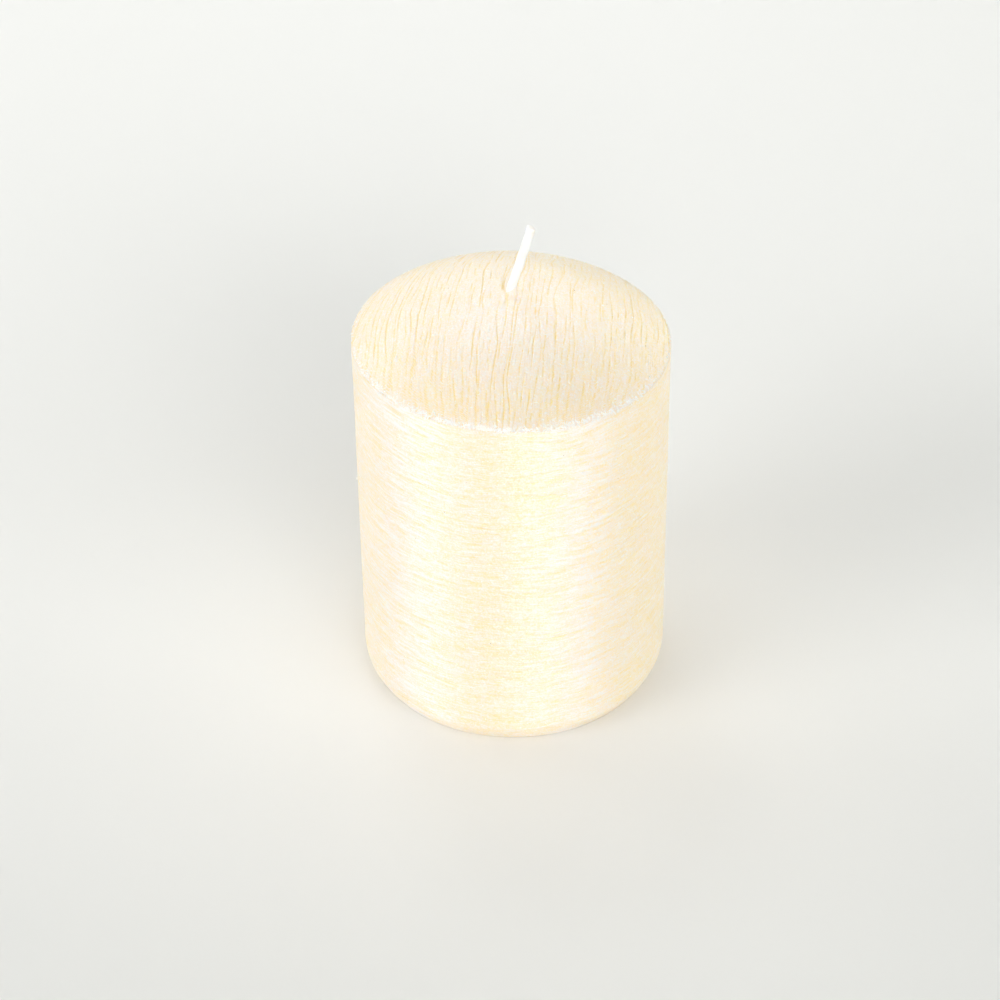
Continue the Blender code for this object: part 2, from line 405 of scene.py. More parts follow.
def side_relief(x, y, z):
    """Relief, amber, frost with painted sheen, and stroke height at points in mm on the smooth side.

    The frost holds a painted sheen: whiter bands on the front left and the front right, where the lights are
    reflected. The extra amber on the right is painted shade.
    """
    level = stroke_height(x, y, z)
    broad = noise(71, x / 9, y / 9, level / 0.8)
    middle = noise(72, x / 7, y / 7, level / 0.6)
    narrow = noise(73, x / 5, y / 5, level / 0.42)
    grit = noise(74, x / 0.8, y / 0.8, z / 0.5)
    strokes = 0.14 * broad + 0.3 * middle + 0.68 * narrow
    cut = step(0.22, 0.75, -strokes)
    swell = noise(75, x / 16, y / 16, z / 14)
    brushed = step(0.7, 1.9, z)
    relief = brushed * (0.085 * strokes - 0.04 * cut + 0.016 * grit) + 0.05 * swell
    azimuth = np.degrees(np.arctan2(x, -y))
    # Painted shade: more amber on the right, from azimuth 35 to 160, where less light falls.
    shaded_right = step(35, 65, azimuth) * step(160, 130, azimuth)
    amber = 0.15 * cut + 0.06 * np.clip(-strokes, 0, 1) + 0.08 * shaded_right + 0.1 * shaded_right * np.clip(-narrow, 0, 1)
    # Painted sheen: whiter bands where the front-left and front-right lights are reflected, and near the rim
    # on the front left.
    painted_sheen_bands = bell((azimuth + 40) / 22) + 0.9 * bell((azimuth - 25) / 13)
    painted_sheen_rim = bell((azimuth + 40) / 30, (z - 86) / 5)
    frost_and_painted_sheen = (painted_sheen_bands + 0.5 * painted_sheen_rim) * np.clip(0.48 + 1.2 * strokes, 0, 1.3)
    frost_and_painted_sheen = frost_and_painted_sheen + 0.2 * np.clip(strokes, 0, 1) + 0.2 * shaded_right * np.clip(narrow, 0, 1)
    return relief, brushed * amber, frost_and_painted_sheen, level


def foot_arc(radius, steps):
    """The foot's arc (r, z) from the side wall to the base plane, in metres."""
    end = -asin(min(1.0, FOOT_HEIGHT / radius))
    angles = np.linspace(0, end, steps)
    r = RADIUS - FOOT_INSET + radius * np.cos(angles)
    return np.stack([r, FOOT_HEIGHT + radius * np.sin(angles)], axis=1)


def out_from_axis(angle, radius, z):
    """Points at the angles round Z, as an array with x, y and z in its last axis."""
    return np.stack(np.broadcast_arrays(radius * np.cos(angle), radius * np.sin(angle), z), axis=-1)


def side_normal(angle, z):
    """The outward normal of the smooth wall or foot, and the length of its level part."""
    slope = np.clip((z - FOOT_HEIGHT) / FOOT_INSET, -1, 0)
    flat = np.sqrt(1 - slope**2)
    return out_from_axis(angle, flat, slope), flat


def make_side():
    """The side of the pearl coat: wall and rounded foot, closed by a plain inner wall."""
    rim = rim_points()
    angle = ring_angles(RIM_STEPS)
    arc = foot_arc(FOOT_INSET, FOOT_ROWS)
    share = np.linspace(0, 1, SIDE_ROWS - FOOT_ROWS + 1)[:-1]
    rows = [out_from_axis(angle, RADIUS, rim[:, 2] * (1 - t) + FOOT_HEIGHT * t) for t in share]
    rows += [out_from_axis(angle, r, z) for r, z in arc]
    grid = np.stack(rows)
    x, y, z = in_mm(grid)
    relief, amber, frost_and_painted_sheen, level = side_relief(x, y, z)
    below_rim = (rim[None, :, 2] - grid[..., 2]) / MM
    burr = rim_burr(angle)[None, :] * bell(below_rim / 0.4) * 0.5
    lip = 0.16 * bell((z - 0.75) / 0.5)
    outward = (relief * step(0.0, 0.6, below_rim) + burr + lip) * MM
    normal, _ = side_normal(angle, grid[..., 2])
    grid = grid + normal * outward[..., None]
    grid[0] = rim
    grid[-1, :, 2] = 0.0
    inner_arc = foot_arc(FOOT_INSET - PEARL_THICKNESS, 6)[::-1]
    inner = [out_from_axis(angle, r, z) for r, z in inner_arc]
    top_inner = out_from_axis(angle, 0.975 * RADIUS, rim[:, 2] - 0.95 * MM)
    points = np.concatenate([grid.reshape(-1, 3), *inner, top_inner])
    ring_count = SIDE_ROWS + len(inner) + 1
    piece = closed_turn("pearl_coat_side", points.reshape(ring_count, RIM_STEPS, 3))
    extra = len(points) - amber.size
    x, y, z = in_mm(points)
    add_values(piece, "amber", np.concatenate([amber.ravel(), np.zeros(extra)]))
    add_values(piece, "frost_and_painted_sheen", np.concatenate([frost_and_painted_sheen.ravel(), np.zeros(extra)]))
    levels = np.concatenate([level.ravel(), z[-extra:]])
    streaks = [x / STREAK_LENGTH, y / STREAK_LENGTH, levels / STREAK_WIDTH]
    add_values(piece, "grain", np.stack(streaks, axis=1))
    add_values(piece, "across", np.tile([0.0, 0.0, 1.0], (len(x), 1)))
    return piece


# ------ glitter and crumbs


def unit(vectors):
    return vectors / np.linalg.norm(vectors, axis=1)[:, None]


def side_place(angle, z):
    """A place on the side's finished surface, wall or foot, in metres, and the outward normal there."""
    normal, flat = side_normal(angle, z)
    radius = RADIUS - FOOT_INSET * (1 - flat)
    place = out_from_axis(angle, radius, z)
    relief, _, _, _ = side_relief(*in_mm(place))
    return place + normal * relief[:, None] * MM, normal


def dome_place(x, y):
    """A place on the dome's finished surface, in metres, and the normal of the smooth dome there."""
    height, _ = dome_height(x, y)
    normal = np.stack([x / DOME_RADIUS, y / DOME_RADIUS, np.ones_like(x)], axis=1)
    return np.stack([x, y, height], axis=1), unit(normal)


def side_axes(normal, random):
    """Two unit vectors across each normal, turned by a random angle."""
    helper = np.where(np.abs(normal[:, 2:3]) > 0.9, [1.0, 0.0, 0.0], [0.0, 0.0, 1.0])
    first = unit(np.cross(helper, normal))
    second = np.cross(normal, first)
    turn = random.uniform(0, 2 * np.pi, len(normal))[:, None]
    return first * np.cos(turn) + second * np.sin(turn), second * np.cos(turn) - first * np.sin(turn)


def tilted(normal, spread, random):
    """The normals, each tipped by a small random amount."""
    return unit(normal + random.normal(0, spread, normal.shape))


def make_flakes(name, place, normal, smallest, largest, random):
    """Pearl flakes: one closed hexagonal plate for each place, lying on the wax at a small random tilt."""
    size = random.uniform(smallest, largest, len(place)) * MM
    up = tilted(normal, 0.3, random)
    first, second = side_axes(up, random)
    corner = np.arange(6) * np.pi / 3
    stretch = random.uniform(0.6, 1.0, len(place))
    ring = along(first, np.cos(corner)[None]) + along(second, np.sin(corner) * stretch[:, None])
    ring = place[:, None] + ring * size[:, None, None]
    half = up[:, None] * FLAKE_HALF
    lift = normal[:, None] * FLAKE_LIFT
    points = np.stack([ring - half + lift, ring + half + lift], axis=1).reshape(-1, 3)
    low, high = np.arange(6), np.arange(6, 12)
    one = [*ring_quads(low, high), high[:4], high[[0, 3, 4, 5]], low[[3, 2, 1, 0]], low[[5, 4, 3, 0]]]
    quads = (np.array(one)[None] + np.arange(len(place))[:, None, None] * 12).reshape(-1, 4)
    piece = mesh_object(name, points, [quads], smooth_shaded=False)
    add_values(piece, "hue", np.repeat(random.uniform(0, 1, len(place)), 12))
    return piece


def make_crumbs(name, place, normal, size, stretch, random):
    """Crumbs and curls of wax: one closed, lumpy grain for each place."""
    ball = bmesh.new()
    bmesh.ops.create_icosphere(ball, subdivisions=2, radius=1.0)
    shape = np.array([v.co for v in ball.verts])
    faces = np.array([[v.index for v in f.verts] for f in ball.faces])
    ball.free()
    first, second = side_axes(normal, random)
    lumps = 1 + 0.35 * random.uniform(-1, 1, (len(place), len(shape)))
    local = shape[None] * lumps[..., None] * size[:, None, None]
    curl = 0.35 * (local[..., 0] * stretch[:, None] / size[:, None] / 2) ** 2 * size[:, None]
    thinner = np.sqrt(stretch)[:, None]
    points = place[:, None] + along(first, local[..., 0] * stretch[:, None])
    points = points + along(second, local[..., 1] / thinner + curl) + along(normal, local[..., 2] / thinner)
    triangles = (faces[None] + np.arange(len(place))[:, None, None] * len(shape)).reshape(-1, 3)
    return mesh_object(name, points.reshape(-1, 3), [], [triangles])


def disc_places(count, random):
    """Random x and y over the dome, away from the wick and the rim."""
    radius = np.sqrt(random.uniform(0.004, 0.985, count)) * RADIUS
    angle = random.uniform(0, 2 * np.pi, count)
    return radius * np.cos(angle), radius * np.sin(angle)


def dome_flakes():
    random = np.random.default_rng(81)
    x, y = disc_places(1500, random)
    keep = random.uniform(0, 1, len(x)) < 0.45 + 0.45 * step(-5 * MM, 30 * MM, x)
    place, normal = dome_place(x[keep], y[keep])
    return make_flakes("pearl_flakes_dome", place, normal, 0.09, 0.2, random)


def side_flakes():
    random = np.random.default_rng(82)
    count = 5200
    angle = random.uniform(0, 2 * np.pi, count)
    z = random.uniform(1.5, 86.0, count) * MM
    keep = random.uniform(0, 1, count) < 0.3 + 0.5 * step(-0.2, 0.9, np.cos(angle))
    place, normal = side_place(angle[keep], z[keep])
    return make_flakes("pearl_flakes_side", place, normal, 0.08, 0.19, random)


def rim_crumbs():
    """The white crumbs that the brush left along the rim, thickest at the front left."""
    random = np.random.default_rng(83)
    front_left = random.normal(radians(-118), 0.45, 330)
    front = random.normal(radians(-72), 0.4, 280)
    angle = np.concatenate([front_left, front, random.uniform(0, 2 * np.pi, 130)])
    radius = RADIUS - np.abs(random.normal(0, 0.55, len(angle))) * MM
    place, normal = dome_place(radius * np.cos(angle), radius * np.sin(angle))
    size = random.uniform(0.07, 0.2, len(angle)) * MM
    return make_crumbs("wax_crumbs_rim", place, normal, size, random.uniform(1.0, 4.0, len(angle)), random)


def dome_crumbs():
    random = np.random.default_rng(84)
    x, y = disc_places(900, random)
    keep = random.uniform(0, 1, len(x)) < 0.08 + 0.92 * step(0, -26 * MM, y)
    place, normal = dome_place(x[keep], y[keep])
    size = random.uniform(0.06, 0.15, len(place)) * MM
    return make_crumbs("wax_crumbs_dome", place, normal, size, random.uniform(1.0, 4.5, len(place)), random)


def side_crumbs():
    """Crumbs on the side. The first is larger and stands out of the outline on the left, halfway up."""
    random = np.random.default_rng(85)
    count = 420
    angle = random.uniform(0, 2 * np.pi, count)
    z = random.uniform(2.0, 86.0, count) * MM
    angle[0], z[0] = radians(183.7), 51.6 * MM
    place, normal = side_place(angle, z)
    size = random.uniform(0.06, 0.13, count) * MM
    size[0] = 0.3 * MM
    stretch = random.uniform(1.0, 2.5, count)
    stretch[0] = 1.0
    return make_crumbs("wax_crumbs_side", place, normal, size, stretch, random)


def dust_specks():
    """A few specks of dust that settled on the soft wax."""
    random = np.random.default_rng(86)
    angle = random.uniform(-2.6, -0.4, 14)
    side, side_out = side_place(angle, random.uniform(6, 84, 14) * MM)
    top, top_out = dome_place(*disc_places(9, random))
    place, normal = np.concatenate([side, top]), np.concatenate([side_out, top_out])
    size = random.uniform(0.05, 0.085, len(place)) * MM
    return make_crumbs("dust_specks", place, normal, size, np.ones(len(place)), random)


# ------ the coats and the core inside


def lean_top(points):
    """Lowers the top of an inner piece on its +X side, as the dome's outer surface is."""
    weight = step(TILT_STARTS, RIM_HEIGHT, points[..., 2])
    points[..., 2] -= TOP_TILT * points[..., 0] * weight
    return points


def arc_points(centre, radius, start, end, steps):
    angles = np.linspace(start, end, steps)
    return [(centre[0] + radius * cos(a), centre[1] + radius * sin(a)) for a in angles]


def dome_profile(inset, hole_radius, steps=48):
    radius = DOME_RADIUS - inset
    start = acos(hole_radius / radius)
    end = acos((RADIUS - inset) / radius)
    return arc_points((0.0, HEIGHT - DOME_RADIUS), radius, start, end, steps)


def foot_profile(inset, centre_inset, centre_height, steps=14):
    radius = centre_inset - inset
    end = -asin(min(1.0, centre_height / radius))
    points = arc_points((RADIUS - centre_inset, centre_height), radius, 0.0, end, steps)
    points[-1] = (points[-1][0], 0.0)
    return points


def run(start, end, steps):
    """Points between two corners of a profile, without the last one."""
    return [tuple(np.array(start) * (1 - t) + np.array(end) * t) for t in np.linspace(0, 1, steps + 1)[:-1]]


def turned_grid(profile, steps=TURN_STEPS):
    """Points of a profile (r, z) turned about Z, as an array of rings."""
    profile = np.array(profile)
    return out_from_axis(ring_angles(steps), profile[:, 0:1], profile[:, 1:2])


def closed_turn(name, grid):
    """A ring-shaped piece from rings of points. They run down the outer side and up the inner one."""
    rings, steps = grid.shape[:2]
    index = np.arange(rings * steps).reshape(rings, steps)
    quads = [ring_quads(index[(i + 1) % rings], index[i]) for i in range(rings)]
    return mesh_object(name, grid.reshape(-1, 3), quads)


def make_ivory_coat():
    """The thick ivory coat under the pearl, with the slight sags of dipped wax."""
    outer = dome_profile(IVORY_OUTER, WICK_HOLE_RADIUS)
    side = foot_profile(IVORY_OUTER, FOOT_INSET, FOOT_HEIGHT)
    wall = run(outer[-1], side[0], 40)[1:]
    inner_side = foot_profile(IVORY_INNER, CORE_FOOT_INSET, CORE_FOOT_HEIGHT)
    inner_dome = dome_profile(IVORY_INNER, WICK_HOLE_RADIUS)
    inner_wall = run(inner_side[0], inner_dome[-1], 12)[1:]
    grid = turned_grid(outer + wall + side + inner_side[::-1] + inner_wall + inner_dome[::-1])
    rows = len(outer) + len(wall)
    x, y, z = in_mm(grid[:rows])
    sag = 0.05 * noise(91, x / 14, y / 14, z / 22) - 0.05
    grid[:rows, :, :2] *= (1 + sag / 34)[..., None]
    return closed_turn("ivory_coat", lean_top(grid))


def pressed_relief(x, y):
    """The relief of pressed wax beads, in mm below the surface at points (x, y) in mm."""
    cell = 1.9
    u, v = x / cell, y / cell
    nearest = np.full(x.shape, 9.0)
    second = np.full(x.shape, 9.0)
    for i in (-1, 0, 1):
        for j in (-1, 0, 1):
            column, row = np.floor(u) + i, np.floor(v) + j
            centre_x = column + 0.5 + 0.42 * noise(95, column * 1.0, row * 1.0)
            centre_y = row + 0.5 + 0.42 * noise(96, column * 1.0, row * 1.0)
            gap = np.hypot(u - centre_x, v - centre_y)
            second = np.minimum(second, np.maximum(gap, nearest))
            nearest = np.minimum(nearest, gap)
    return 0.16 * (1 - step(0.0, 0.3, second - nearest))


def make_core():
    """The pressed core: dome and side, and a base with the recess for the sustainer."""
    outer = dome_profile(CORE_OUTER, BORE_RADIUS, 24)
    side = foot_profile(CORE_OUTER, CORE_FOOT_INSET, CORE_FOOT_HEIGHT)
    wall = run(outer[-1], side[0], 16)[1:]
    base = run(side[-1], (RECESS_RADIUS + 0.25 * MM, 0.0), 52)[1:]
    corner = [(RECESS_RADIUS + 0.07 * MM, 0.07 * MM), (RECESS_RADIUS, 0.25 * MM)]
    recess = run((RECESS_RADIUS, RECESS_DEPTH - 0.1 * MM), (RECESS_RADIUS - 0.12 * MM, RECESS_DEPTH), 1)
    roof = run((RECESS_RADIUS - 0.12 * MM, RECESS_DEPTH), (BORE_RADIUS, RECESS_DEPTH), 30)
    bore = run((BORE_RADIUS, RECESS_DEPTH), (BORE_RADIUS, outer[0][1]), 12)
    grid = turned_grid(outer + wall + side + base + corner + recess + roof + bore)
    first = len(outer) + len(wall) + len(side)
    last = first + len(base)
    x, y, _ = in_mm(grid[first:last])
    radius = np.hypot(x, y)
    edge = step(0.0, 0.6, 28.0 - radius) * step(0.0, 0.5, radius - 12.7)
    grid[first:last, :, 2] += (pressed_relief(x, y) + 0.05 + 0.04 * noise(97, x / 6, y / 6)) * edge * MM
    first = last + len(corner) + len(recess) + 1
    last = first + len(roof) - 2
    x, y, _ = in_mm(grid[first:last])
    grid[first:last, :, 2] += 0.6 * pressed_relief(x, y) * MM
    return closed_turn("pressed_core", lean_top(grid))


def make_sustainer():
    """The stamped sustainer: a ribbed disc, and a neck crimped in flutes round the wick."""
    neck_outer = NECK_INNER + SUSTAINER_SHEET
    bottom = SUSTAINER_TOP - SUSTAINER_SHEET
    edge = SUSTAINER_SHEET / 2
    lip = arc_points((SUSTAINER_RADIUS - edge, SUSTAINER_TOP - edge), edge, pi / 2, -pi / 2, 9)
    top = run((neck_outer, NECK_TOP), (neck_outer, SUSTAINER_TOP + NECK_FLARE), 24)
    flare_centre = (neck_outer + NECK_FLARE, SUSTAINER_TOP + NECK_FLARE)
    flare = arc_points(flare_centre, NECK_FLARE, pi, 1.5 * pi, 7)
    plate = run(flare[-1], lip[0], 60)[1:]
    under = run(lip[-1], (NECK_INNER + NECK_FLARE, bottom), 60)[1:]
    throat = arc_points((NECK_INNER + NECK_FLARE, bottom + NECK_FLARE), NECK_FLARE, 1.5 * pi, pi, 7)
    inside = run(throat[-1], (NECK_INNER, NECK_TOP), 24)[1:]
    grid = turned_grid(top + flare + plate + lip + under + throat + inside + [(NECK_INNER, NECK_TOP)], 144)
    radius = np.hypot(grid[..., 0], grid[..., 1])
    angle = np.arctan2(grid[..., 1], grid[..., 0])
    on_plate = step(2.4 * MM, 3.2 * MM, radius) * (1 - step(9.2 * MM, 9.8 * MM, radius))
    rib = RIB_DROP * bell((radius - RIB_RADIUS) / (0.55 * MM))
    spokes = np.abs(np.sin(2 * angle)) * radius
    spoke = 0.22 * MM * bell(spokes / (0.6 * MM)) * step(3 * MM, 4 * MM, radius)
    spoke = spoke * (1 - step(5.0 * MM, 5.8 * MM, radius))
    grid[..., 2] -= (rib + spoke) * on_plate
    crimped = step(2.2 * MM, 3.2 * MM, grid[..., 2]) * (1 - step(5.8 * MM, 6.6 * MM, grid[..., 2]))
    flutes = 0.11 * MM * (0.5 + 0.5 * np.cos(6 * angle)) * crimped * (radius < 2 * MM)
    grid[..., :2] *= ((radius - flutes) / radius)[..., None]
    return closed_turn("stamped_sustainer", grid)


# ------ the wick


def wick_line(length, spacing, fine_from, fine_spacing):
    """The wick's centre line: places, leans and distances, with stations closer together past fine_from."""
    substep = 0.02 * MM
    travelled = np.arange(0.0, length + substep / 2, substep)
    bent = (travelled - WICK_BEND_START) / WICK_BEND_LENGTH
    free = (travelled - WICK_BEND_START - WICK_BEND_LENGTH) / WICK_FREE_LENGTH
    lean = WICK_LEAN_ROOT * smooth(bent) + (WICK_LEAN_TIP - WICK_LEAN_ROOT) * np.clip(free, 0, 1)
    x = np.concatenate([[0.0], np.cumsum(np.sin(lean[:-1]) * substep)])
    z = WICK_BOTTOM + np.concatenate([[0.0], np.cumsum(np.cos(lean[:-1]) * substep)])
    coarse, fine = np.arange(0.0, fine_from, spacing), np.arange(fine_from, length, fine_spacing)
    stations = np.concatenate([coarse, fine, [length]])
    x, z = np.interp(stations, travelled, x), np.interp(stations, travelled, z)
    place = np.stack([x, np.zeros(len(stations)), z], axis=1)
    return place, np.interp(stations, travelled, lean), stations


def strand_offset(index, travelled):
    """How far a strand of the plait lies from the wick's centre line, sideways and to the back, in metres."""
    phase = 2 * np.pi * (travelled / PLAIT_PITCH + index / 3)
    return PLAIT_HALF_WIDTH * np.sin(phase), PLAIT_HALF_DEPTH * np.sin(2 * phase)


def across_line(lean):
    """The unit vector across the wick's centre line, in the plane that it bends in."""
    return np.stack([np.cos(lean), np.zeros_like(lean), -np.sin(lean)], axis=1)


def tube_grid(place, lean, around, radius):
    """Rings of points round a line that bends in the XZ plane. radius has a value for each point."""
    back = np.array([0.0, 1.0, 0.0])
    ring = along(across_line(lean), np.cos(around)[None]) + back * np.sin(around)[None, :, None]
    return place[:, None] + ring * radius[..., None]


def wick_outside(place, lean, travelled):
    """Rings on the outside of the wick's wax, which follows the strands a little, and the tip's direction."""
    around = ring_angles(WICK_SIDES)
    reach = np.full((len(travelled), WICK_SIDES), -1.0)
    for index in range(3):
        sideways, back = strand_offset(index, travelled)
        bulge = sideways[:, None] * np.cos(around) + back[:, None] * np.sin(around)
        reach = np.maximum(reach, bulge)
    exposed = step(97.0 * MM, 100.5 * MM, travelled)[:, None]
    followed = 0.86 * MM + 0.42 * reach
    radius = WICK_RADIUS * (1 - 0.35 * exposed) + 0.35 * exposed * followed
    round_skin = np.cos(around)[None] * 1.5 + 0.0 * travelled[:, None]
    wobble = noise(101, round_skin, travelled[:, None] / (2.2 * MM))
    radius = radius + exposed * 0.022 * MM * wobble
    to_tip = (WICK_LENGTH - travelled)[:, None]
    radius = radius * (0.86 + 0.14 * smooth(to_tip / (0.35 * MM)))
    outer = tube_grid(place, lean, around, radius)
    axis = np.stack([np.sin(lean), np.zeros_like(lean), np.cos(lean)], axis=1)
    slant = 0.3 * MM * np.cos(around)[None] + 0.3 * MM
    cut = bell(to_tip / (1.2 * MM)) * slant
    return outer - along(axis, cut), axis[-1]


def make_wick_skin():
    """The wax round the plait: a tube that a soft, slanted tip closes."""
    place, lean, travelled = wick_line(WICK_LENGTH, 2.0 * MM, 95.0 * MM, 0.16 * MM)
    outer, tip = wick_outside(place, lean, travelled)
    middle = outer[-1].mean(axis=0)
    cap_shape = ((0.8, 0.05), (0.5, 0.03), (0.2, -0.02))
    cap = [middle + (outer[-1] - middle) * share + tip * lift * MM for share, lift in cap_shape]
    inner_radius = np.full((len(travelled), WICK_SIDES), WICK_RADIUS - WICK_WALL)
    inner = tube_grid(place, lean, ring_angles(WICK_SIDES), inner_radius)
    inner = inner[travelled < WICK_LENGTH - 1.2 * MM]
    roof = inner[-1].mean(axis=0)
    plug = [roof + (inner[-1] - roof) * share for share in (0.2, 0.5)]
    outside = np.concatenate([outer, cap])
    inside = np.concatenate([plug, inner[::-1]])
    parts = [outside.reshape(-1, 3), [middle - tip * 0.03 * MM], inside.reshape(-1, 3), [roof]]
    points = np.concatenate(parts)
    centre = len(parts[0])
    index = np.arange(centre).reshape(-1, WICK_SIDES)
    index_in = centre + 1 + np.arange(len(parts[2])).reshape(-1, WICK_SIDES)
    quads = [ring_quads(index[i], index[i + 1]) for i in range(len(index) - 1)]
    quads += [ring_quads(index_in[i], index_in[i + 1]) for i in range(len(index_in) - 1)]
    quads.append(ring_quads(index_in[-1], index[0]))
    triangles = [ring_fan(index[-1], centre), ring_fan(index_in[0], len(points) - 1)[:, [1, 0, 2]]]
    piece = mesh_object("wick_wax_skin", points, quads, triangles)
    add_values(piece, "grain", points / MM)
    return piece


def make_strand(number):
    """One cotton strand of the plait: three yarns twisted into a cord that ends just under the tip's wax."""
    length = WICK_LENGTH - 1.5 * MM
    place, lean, travelled = wick_line(length, 0.3 * MM, 95.0 * MM, 0.15 * MM)
    sideways, back = strand_offset(number - 1, travelled)
    line = place + across_line(lean) * sideways[:, None]
    line[:, 1] += back
    steps = STRAND_SIDES
    around = ring_angles(steps)
    twist = 2 * np.pi * travelled[:, None] / (1.6 * MM)
    lobes = np.abs(np.cos(1.5 * (around[None] - twist)))
    round_strand = around[None] * 2.0 + 0.0 * travelled[:, None]
    fuzz = noise(110 + number, round_strand, travelled[:, None] / (0.25 * MM))
    radius = STRAND_RADIUS * (0.8 + 0.2 * lobes + 0.04 * fuzz)
    rings = tube_grid(line, lean, around, radius)
    index = np.arange(len(rings) * steps).reshape(-1, steps)
    points = np.concatenate([rings.reshape(-1, 3), [rings[0].mean(axis=0), rings[-1].mean(axis=0)]])
    quads = [ring_quads(index[i], index[i + 1]) for i in range(len(rings) - 1)]
    ends = [ring_fan(index[0], len(points) - 2)[:, [1, 0, 2]], ring_fan(index[-1], len(points) - 1)]
    piece = mesh_object(f"cotton_strand_{number}", points, quads, ends)
    round_yarn = (around[None] - twist) * 1.5
    along_yarn = travelled[:, None] / (0.4 * MM) + 0 * around
    yarn = np.stack([round_yarn, along_yarn, np.zeros_like(round_yarn)], axis=2)
    add_values(piece, "grain", np.concatenate([yarn.reshape(-1, 3), np.zeros((2, 3))]))
    return piece


# ------ materials


def node_material(name):
    material = bpy.data.materials.new(name)
    material.use_nodes = True
    return material, material.node_tree


def add_node(tree, kind, settings=None, **inputs):
    """Adds a node, sets its properties, and sets or links its inputs, as Base_Color= or by number, as i0=."""
    node = tree.nodes.new("ShaderNode" + kind)
    for key, value in (settings or {}).items():
        setattr(node, key, value)
    for key, value in inputs.items():
        numbered = key[0] == "i" and key[1:].isdigit()
        set_input(tree, node.inputs[int(key[1:]) if numbered else key.replace("_", " ")], value)
    return node


def set_input(tree, socket, value):
    if isinstance(value, bpy.types.NodeSocket):
        tree.links.new(value, socket)
    elif isinstance(value, tuple) and len(value) == 3 and len(socket.default_value) == 4:
        socket.default_value = (*value, 1.0)
    else:
        socket.default_value = value


def shaded(material, **inputs):
    """The material, after setting or linking the inputs of its shader."""
    tree = material.node_tree
    for key, value in inputs.items():
        set_input(tree, tree.nodes["Principled BSDF"].inputs[key.replace("_", " ")], value)
    return material


def attribute(tree, name, output="Fac"):
    return add_node(tree, "Attribute", {"attribute_name": name}).outputs[output]


def noise_node(tree, vector, scale, detail):
    """Noise remapped so that it runs from about -1 to 1."""
    node = add_node(tree, "TexNoise", Vector=vector, Scale=scale, Detail=detail, Roughness=0.55)
    return ramp(tree, node.outputs["Fac"], 0.3, 0.7, -1.0, 1.0)


def voronoi_node(tree, vector, scale, output):
    return add_node(tree, "TexVoronoi", Vector=vector, Scale=scale).outputs[output]


def object_place(tree):
    return add_node(tree, "TexCoord").outputs["Object"]


def red_part(tree, colour):
    return add_node(tree, "SeparateColor", Color=colour).outputs[0]


def ramp(tree, value, low, high, to_low=0.0, to_high=1.0):
    """Value, mapped from low..high to to_low..to_high and held within them."""
    limits = {"From_Min": low, "From_Max": high, "To_Min": to_low, "To_Max": to_high}
    return add_node(tree, "MapRange", {"clamp": True}, Value=value, **limits).outputs["Result"]


def weighted_sum(tree, start, *terms):
    """start plus each (value, weight) pair's product."""
    total = start
    settings = {"operation": "MULTIPLY_ADD"}
    for value, weight in terms:
        total = add_node(tree, "Math", settings, i0=value, i1=weight, i2=total).outputs[0]
    return total


def mix_colour(tree, factor, a, b):
    return add_node(tree, "Mix", {"data_type": "RGBA"}, i0=factor, i6=a, i7=b).outputs[2]


def colour_ramp(tree, value, stops):
    """A colour for each value, from stops of (position, colour)."""
    node = add_node(tree, "ValToRGB", Fac=value)
    elements = node.color_ramp.elements
    while len(elements) < len(stops):
        elements.new(0.5)
    for element, (position, colour) in zip(elements, stops):
        element.position = position
        element.color = (*colour, 1.0)
    return node.outputs["Color"]


def bump_node(tree, height, distance):
    """Bump of the given distance in mm."""
    return add_node(tree, "Bump", Strength=1.0, Distance=distance * MM, Height=height).outputs[0]


def vector_node(tree, operation, **inputs):
    return add_node(tree, "VectorMath", {"operation": operation}, **inputs).outputs[0]


def jittered_normal(tree, normal, colour, amount):
    """Tips a normal by a random colour, as small flat flakes do."""
    centred = vector_node(tree, "SUBTRACT", i0=colour, i1=(0.5, 0.5, 0.5))
    scaled = vector_node(tree, "SCALE", i0=centred, Scale=amount)
    return vector_node(tree, "NORMALIZE", i0=vector_node(tree, "ADD", i0=normal, i1=scaled))


def pearl_wax(name, streaks):
    """Ivory wax brushed with pearl, as the mesh's values say. streaks is the fine streaks' strength."""
    material, tree = node_material(name)
    amber = attribute(tree, "amber")
    # The frost is whiter pearl: partly random streaks, partly painted sheen.
    frost_and_painted_sheen = attribute(tree, "frost_and_painted_sheen")
    grain = attribute(tree, "grain", "Vector")
    place = object_place(tree)
    strokes = noise_node(tree, grain, 0.75, 2.0)
    hairs = noise_node(tree, grain, 1.6, 1.0)
    mottle = noise_node(tree, place, 2400.0, 2.0)
    cloud = noise_node(tree, place, 70.0, 3.0)
    flakes = voronoi_node(tree, place, 3300.0, "Color")
    speckle = ramp(tree, red_part(tree, flakes), 0, 1, -1, 1)
    tone = weighted_sum(
        tree, 0.5, (strokes, 0.12 * streaks), (hairs, 0.2 * streaks), (mottle, 0.12), (speckle, 0.19),
        (cloud, 0.02), (amber, -0.5), (frost_and_painted_sheen, 0.32),
    )
    deep, golden = (1.0, 0.71, 0.2), (1.0, 0.775, 0.42)
    ivory_tone, pearl_tone = (1.0, 0.803, 0.60), (1.0, 0.92, 0.87)
    colour = colour_ramp(tree, tone, ((0.0, deep), (0.3, golden), (0.5, ivory_tone), (0.95, pearl_tone)))
    rough = weighted_sum(tree, 0.34, (amber, 0.25))
    height = weighted_sum(tree, 0.0, (strokes, 0.5), (hairs, 0.25), (mottle, 0.25))
    normal = jittered_normal(tree, bump_node(tree, height, 0.07), flakes, 0.2)
    return shaded(
        material, Base_Color=colour, Roughness=rough, Normal=normal,
        Tangent=attribute(tree, "across", "Vector"), Anisotropic=1.0, IOR=2.1, Specular_IOR_Level=1.0,
        Subsurface_Weight=0.3, Subsurface_Radius=(1.0, 0.6, 0.3), Subsurface_Scale=0.0015,
    )


